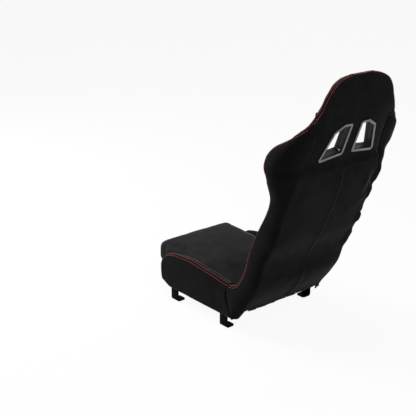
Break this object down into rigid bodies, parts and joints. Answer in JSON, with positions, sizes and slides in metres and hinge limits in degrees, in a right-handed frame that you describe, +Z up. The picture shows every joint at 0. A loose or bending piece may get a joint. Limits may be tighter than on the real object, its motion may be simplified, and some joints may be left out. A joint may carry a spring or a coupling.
{
  "type": "racing seat",
  "caption": "Fixed-back racing bucket seat with winged back, two harness slots, stitched fabric covers and C-shaped floor brackets.",
  "frame": {"origin": "middle of the four floor bolt holes, on the underside of the bracket feet", "axes": "+Z up, the seat faces -Y, +X to the sitter's left-hand side"},
  "size_m": [0.548, 0.8576, 0.974],
  "materials": {
    "frame_steel": "satin black paint",
    "bracket_steel": "fine black powder coat",
    "zinc_hardware": "zinc plated",
    "webbing": "rubberised woven strap",
    "foam": "moulded polyurethane foam",
    "suede_fabric": "matt brushed microfibre",
    "knit_fabric": "smooth stretch knit",
    "moulded_plastic": "fine satin grain",
    "clip_plastic": "extruded, matt"
  },
  "bodies": {
    "root": {"main_hoop": "frame_steel", "front_cross_tube": "frame_steel", "rear_cross_tube": "frame_steel", "hem_tube": "frame_steel", "lumbar_cross_tube": "frame_steel", "lower_harness_tube": "frame_steel", "upper_harness_tube": "frame_steel", "wing_rod_left": "frame_steel", "wing_rod_right": "frame_steel", "mount_plates": "frame_steel", "weld_nuts": "zinc_hardware", "seat_webbing": "webbing", "back_webbing": "webbing", "base_foam": "foam", "base_bolster_left": "suede_fabric", "base_bolster_right": "suede_fabric", "seat_cushion": "suede_fabric", "back_pad": "suede_fabric", "wing_pad_left": "knit_fabric", "wing_pad_right": "knit_fabric", "shoulder_pad": "suede_fabric", "head_pad": "knit_fabric", "rear_cover_lower": "suede_fabric", "rear_cover_upper": "knit_fabric", "side_cover_left": "knit_fabric", "side_cover_right": "knit_fabric", "base_cover_left": "knit_fabric", "base_cover_right": "knit_fabric", "base_cover_front": "knit_fabric", "hem_clips": "clip_plastic", "rear_bezel_left": "moulded_plastic", "rear_bezel_right": "moulded_plastic", "front_bezel_left": "moulded_plastic", "front_bezel_right": "moulded_plastic", "bezel_screws": "zinc_hardware", "bracket_front_left": "bracket_steel", "bracket_front_right": "bracket_steel", "bracket_rear_left": "bracket_steel", "bracket_rear_right": "bracket_steel", "seat_bolts": "zinc_hardware", "bolt_washers": "zinc_hardware"}
  },
  "joints": []
}
